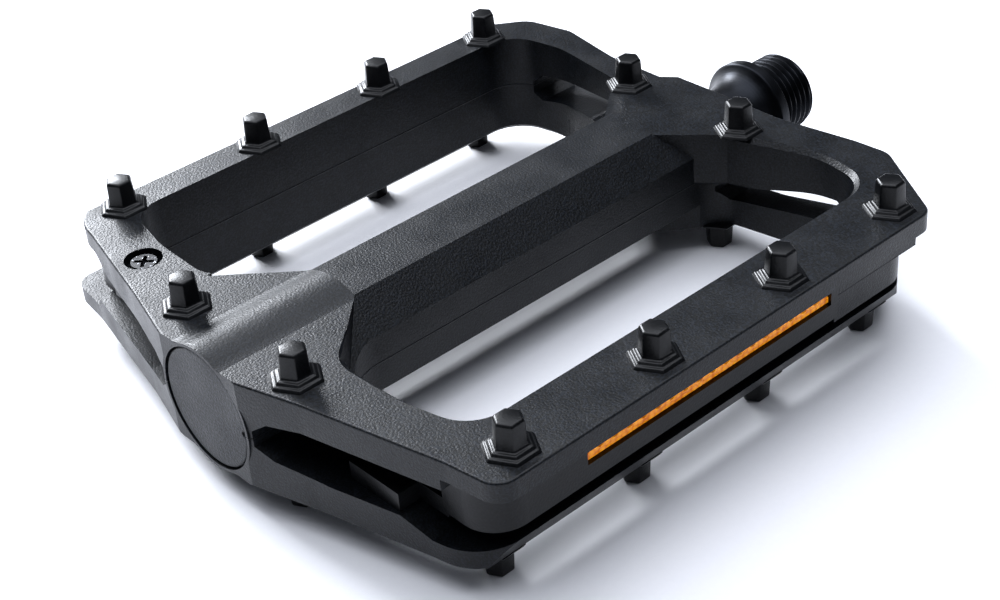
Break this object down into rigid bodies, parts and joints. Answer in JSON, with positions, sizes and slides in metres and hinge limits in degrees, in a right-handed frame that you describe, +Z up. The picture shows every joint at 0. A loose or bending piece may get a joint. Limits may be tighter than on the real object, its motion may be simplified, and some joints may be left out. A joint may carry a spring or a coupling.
{
  "type": "flat pedal",
  "caption": "Bicycle platform pedal: moulded open platform with raised pins on both faces, edge reflectors and a threaded spindle for the crank arm.",
  "frame": {"origin": "on the spindle axis, in the plane of the spindle flange's crank-side face, where the shoulder meets the crank arm", "axes": "+X along the spindle towards the crank, +Y towards the rear rail, +Z up out of the upper face"},
  "size_m": [0.13, 0.1088, 0.0294],
  "materials": {
    "body_nylon": "glass-filled nylon, spark-eroded grain",
    "pin_nylon": "moulded nylon, fine grain",
    "holder_plastic": "smooth black plastic",
    "amber_acrylic": "transparent amber, prism back",
    "screw_steel": "blackened steel",
    "spindle_steel": "black oxide, satin",
    "zinc_steel": "zinc plated",
    "bearing_steel": "ground and polished",
    "bush_polymer": "dry bearing polymer",
    "cage_polymer": "moulded cage",
    "seal_rubber": "moulded rubber"
  },
  "bodies": {
    "spindle": {"spindle": "spindle_steel", "bearing_inner_ring": "bearing_steel", "spindle_washer": "zinc_steel", "spindle_nut": "zinc_steel"},
    "platform": {"bearing_clip": "bearing_steel", "bearing_outer_ring": "bearing_steel", "bearing_shield_inner": "seal_rubber", "bearing_shield_outer": "seal_rubber", "dust_seal": "seal_rubber", "end_cap": "body_nylon", "inner_bush": "bush_polymer", "pin_bottom_front_1": "pin_nylon", "pin_bottom_front_2": "pin_nylon", "pin_bottom_front_3": "pin_nylon", "pin_bottom_front_4": "pin_nylon", "pin_bottom_inner_front": "pin_nylon", "pin_bottom_inner_rear": "pin_nylon", "pin_bottom_outer_front": "pin_nylon", "pin_bottom_outer_rear": "pin_nylon", "pin_bottom_rear_1": "pin_nylon", "pin_bottom_rear_2": "pin_nylon", "pin_bottom_rear_3": "pin_nylon", "pin_bottom_rear_4": "pin_nylon", "pin_top_front_1": "pin_nylon", "pin_top_front_2": "pin_nylon", "pin_top_front_3": "pin_nylon", "pin_top_front_4": "pin_nylon", "pin_top_inner_front": "pin_nylon", "pin_top_inner_rear": "pin_nylon", "pin_top_outer_front": "pin_nylon", "pin_top_outer_rear": "pin_nylon", "pin_top_rear_1": "pin_nylon", "pin_top_rear_2": "pin_nylon", "pin_top_rear_3": "pin_nylon", "pin_top_rear_4": "pin_nylon", "platform_body": "body_nylon", "reflector_holder_front": "holder_plastic", "reflector_holder_rear": "holder_plastic", "reflector_lens_front": "amber_acrylic", "reflector_lens_rear": "amber_acrylic", "reflector_screw_front": "screw_steel", "reflector_screw_rear": "screw_steel"},
    "bearing_cage": {"bearing_cage": "cage_polymer", "bearing_ball_1": "bearing_steel", "bearing_ball_2": "bearing_steel", "bearing_ball_3": "bearing_steel", "bearing_ball_4": "bearing_steel", "bearing_ball_5": "bearing_steel", "bearing_ball_6": "bearing_steel", "bearing_ball_7": "bearing_steel", "bearing_ball_8": "bearing_steel", "bearing_ball_9": "bearing_steel"}
  },
  "joints": [
    {"name": "platform_spin", "type": "hinge", "parent": "spindle", "child": "platform", "pos_m": [0, 0, 0], "axis": [1, 0, 0], "continuous": true},
    {"name": "cage_spin", "type": "hinge", "parent": "spindle", "child": "bearing_cage", "pos_m": [0, 0, 0], "axis": [1, 0, 0], "continuous": true}
  ],
  "couplings": [
    {"joint": "cage_spin", "follows": "platform_spin", "ratio": 0.6}
  ]
}
